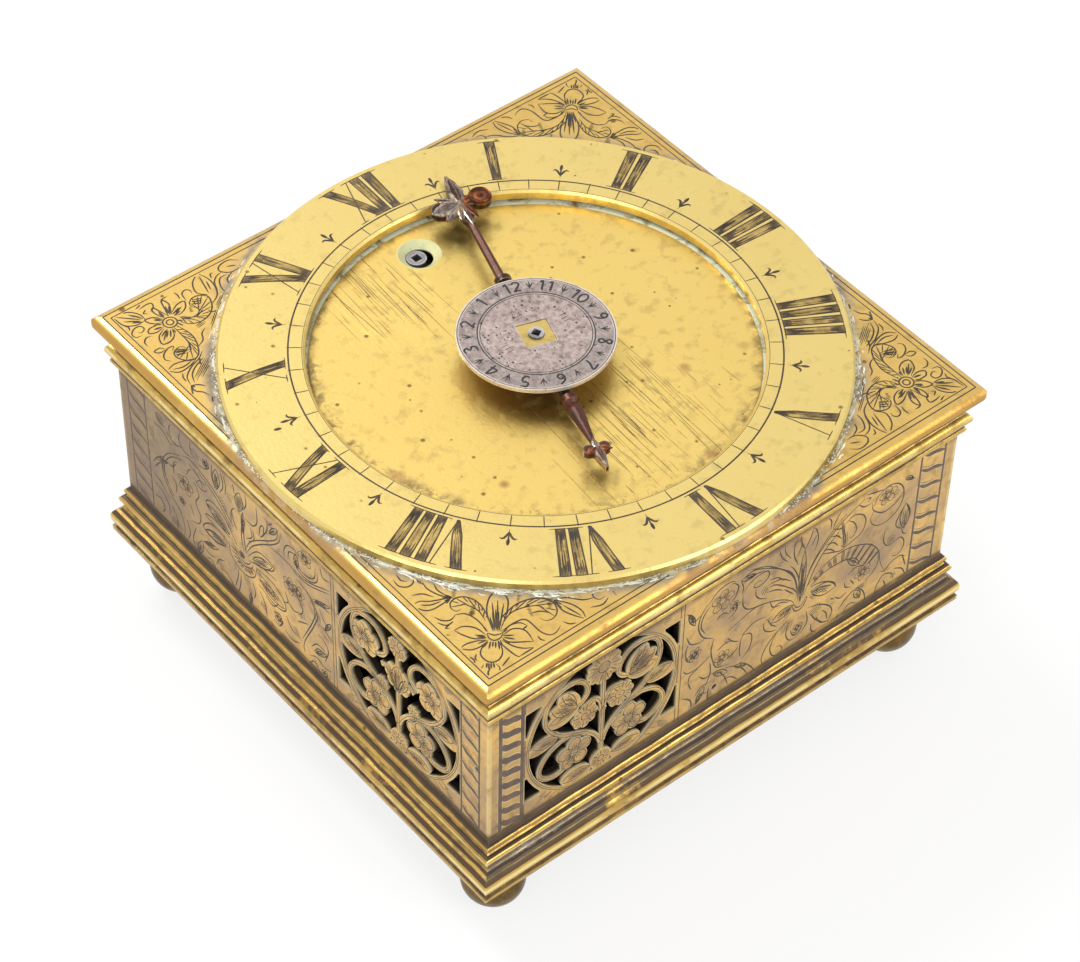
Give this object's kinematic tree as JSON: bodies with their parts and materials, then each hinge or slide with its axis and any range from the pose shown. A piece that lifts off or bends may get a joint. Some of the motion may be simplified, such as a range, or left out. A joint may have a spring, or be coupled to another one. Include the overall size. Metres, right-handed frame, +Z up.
{
  "type": "table clock",
  "caption": "Square horizontal table clock with round hour ring, single hand, alarm setting disc, pierced engraved sides, moulded base and ball feet.",
  "frame": {"origin": "middle of the clock on the surface that it stands on", "axes": "+Z up through the hand's axis, +Y towards the twelve of the hour ring, +X towards its three"},
  "size_m": [0.12, 0.12, 0.0781],
  "materials": {
    "case_brass": "aged polished brass",
    "fret_brass": "aged engraved brass",
    "dial_brass": "worn brushed brass",
    "ring_brass": "satin brass",
    "movement_brass": "satin brass",
    "disc_pewter": "tarnished silver",
    "boss_brass": "polished",
    "hand_steel": "browned",
    "steel": "satin",
    "screw_steel": "satin",
    "bell_bronze": "turned bell metal",
    "door_brass": "aged brass"
  },
  "bodies": {
    "case": {"top_plate": "case_brass", "cornice_moulding": "case_brass", "base_moulding": "case_brass", "front_wall": "fret_brass", "left_wall": "fret_brass", "right_wall": "case_brass", "back_wall": "case_brass", "chapter_ring": "ring_brass", "dial_plate": "dial_brass", "ball_feet": "case_brass", "foot_nuts": "screw_steel", "case_lugs": "case_brass", "lug_screws": "screw_steel", "hinge_leaf": "door_brass", "hinge_pin": "screw_steel", "button_screw": "screw_steel", "movement_upper_plate": "movement_brass", "movement_lower_plate": "movement_brass", "movement_pillars": "movement_brass", "dial_feet": "movement_brass", "cross_pins": "screw_steel", "potence": "movement_brass", "counter_potence": "movement_brass", "balance_cock": "movement_brass", "plate_screws": "screw_steel", "bell": "bell_bronze", "bell_post": "steel", "bell_nut": "screw_steel"},
    "barrel_group": {"going_barrel": "movement_brass", "barrel_cap": "movement_brass", "dial_pinion": "movement_brass", "mainspring": "steel"},
    "winding_group": {"barrel_arbor": "steel", "ratchet_wheel": "steel"},
    "click_group": {"click": "steel"},
    "second_group": {"second_arbor": "steel", "second_wheel": "movement_brass"},
    "contrate_group": {"contrate_arbor": "steel", "contrate_wheel": "movement_brass"},
    "crown_group": {"crown_arbor": "steel", "crown_wheel": "movement_brass"},
    "balance_group": {"verge": "steel", "balance_wheel": "steel"},
    "hour_wheel_group": {"hour_wheel": "movement_brass"},
    "hand_group": {"hour_hand": "hand_steel"},
    "alarm_disc_group": {"alarm_disc": "disc_pewter", "disc_boss": "boss_brass", "alarm_arbor": "steel", "alarm_cam": "movement_brass"},
    "alarm_barrel_group": {"alarm_barrel": "movement_brass"},
    "alarm_winding_group": {"alarm_winding_arbor": "steel"},
    "alarm_scape_group": {"alarm_scape_arbor": "steel", "alarm_scape_wheel": "movement_brass"},
    "hammer_group": {"hammer_arbor": "steel", "bell_hammer": "steel"},
    "detent_group": {"alarm_detent": "steel"},
    "door_group": {"bottom_door": "door_brass"},
    "button_group": {"door_button": "door_brass"}
  },
  "joints": [
    {"name": "barrel_turn", "type": "hinge", "parent": "case", "child": "barrel_group", "pos_m": [-0.0004, 0.0358, 0.047], "axis": [0, 0, 1], "continuous": true},
    {"name": "winding_turn", "type": "hinge", "parent": "case", "child": "winding_group", "pos_m": [-0.0004, 0.0358, 0.047], "axis": [0, 0, 1], "continuous": true},
    {"name": "click_lift", "type": "hinge", "parent": "case", "child": "click_group", "pos_m": [0.00485, 0.02671, 0.0318], "axis": [0, 0, 1], "range_deg": [0, 12]},
    {"name": "second_turn", "type": "hinge", "parent": "case", "child": "second_group", "pos_m": [0.01659, 0.02788, 0.049], "axis": [0, 0, 1], "continuous": true},
    {"name": "contrate_turn", "type": "hinge", "parent": "case", "child": "contrate_group", "pos_m": [0.01659, 0.01213, 0.049], "axis": [0, 0, 1], "continuous": true},
    {"name": "crown_turn", "type": "hinge", "parent": "case", "child": "crown_group", "pos_m": [0.01659, 0.00093, 0.045], "axis": [0, -1, 0], "continuous": true},
    {"name": "balance_swing", "type": "hinge", "parent": "case", "child": "balance_group", "pos_m": [0.01659, -0.00997, 0.045], "axis": [0, 0, 1], "range_deg": [-40, 40]},
    {"name": "hour_wheel_turn", "type": "hinge", "parent": "case", "child": "hour_wheel_group", "pos_m": [0, 0, 0.0664], "axis": [0, 0, 1], "continuous": true},
    {"name": "hand_turn", "type": "hinge", "parent": "hour_wheel_group", "child": "hand_group", "pos_m": [0, 0, 0.0758], "axis": [0, 0, 1], "continuous": true},
    {"name": "alarm_setting", "type": "hinge", "parent": "hand_group", "child": "alarm_disc_group", "pos_m": [0, 0, 0.0775], "axis": [0, 0, 1], "continuous": true},
    {"name": "alarm_barrel_turn", "type": "hinge", "parent": "case", "child": "alarm_barrel_group", "pos_m": [-0.027, 0.014, 0.043], "axis": [0, 0, 1], "continuous": true},
    {"name": "alarm_winding", "type": "hinge", "parent": "case", "child": "alarm_winding_group", "pos_m": [-0.027, 0.014, 0.043], "axis": [0, 0, 1], "continuous": true},
    {"name": "alarm_scape_turn", "type": "hinge", "parent": "case", "child": "alarm_scape_group", "pos_m": [-0.02457, 0.00021, 0.049], "axis": [0, 0, 1], "continuous": true},
    {"name": "hammer_swing", "type": "hinge", "parent": "case", "child": "hammer_group", "pos_m": [-0.01882, -0.00975, 0.049], "axis": [0, 0, 1], "range_deg": [-3.5, 14]},
    {"name": "detent_swing", "type": "hinge", "parent": "case", "child": "detent_group", "pos_m": [-0.008, -0.0125, 0.0593], "axis": [0, 0, 1], "range_deg": [-5, 5]},
    {"name": "door_swing", "type": "hinge", "parent": "case", "child": "door_group", "pos_m": [0, 0.045, 0.0125], "axis": [1, 0, 0], "range_deg": [0, 100]},
    {"name": "button_turn", "type": "hinge", "parent": "case", "child": "button_group", "pos_m": [0, -0.047, 0.0134], "axis": [0, 0, 1], "range_deg": [0, 90]}
  ],
  "couplings": [
    {"joint": "second_turn", "follows": "barrel_turn", "ratio": -4},
    {"joint": "contrate_turn", "follows": "barrel_turn", "ratio": 16},
    {"joint": "crown_turn", "follows": "barrel_turn", "ratio": 64},
    {"joint": "hour_wheel_turn", "follows": "barrel_turn", "ratio": -0.25},
    {"joint": "alarm_scape_turn", "follows": "alarm_barrel_turn", "ratio": -4}
  ]
}
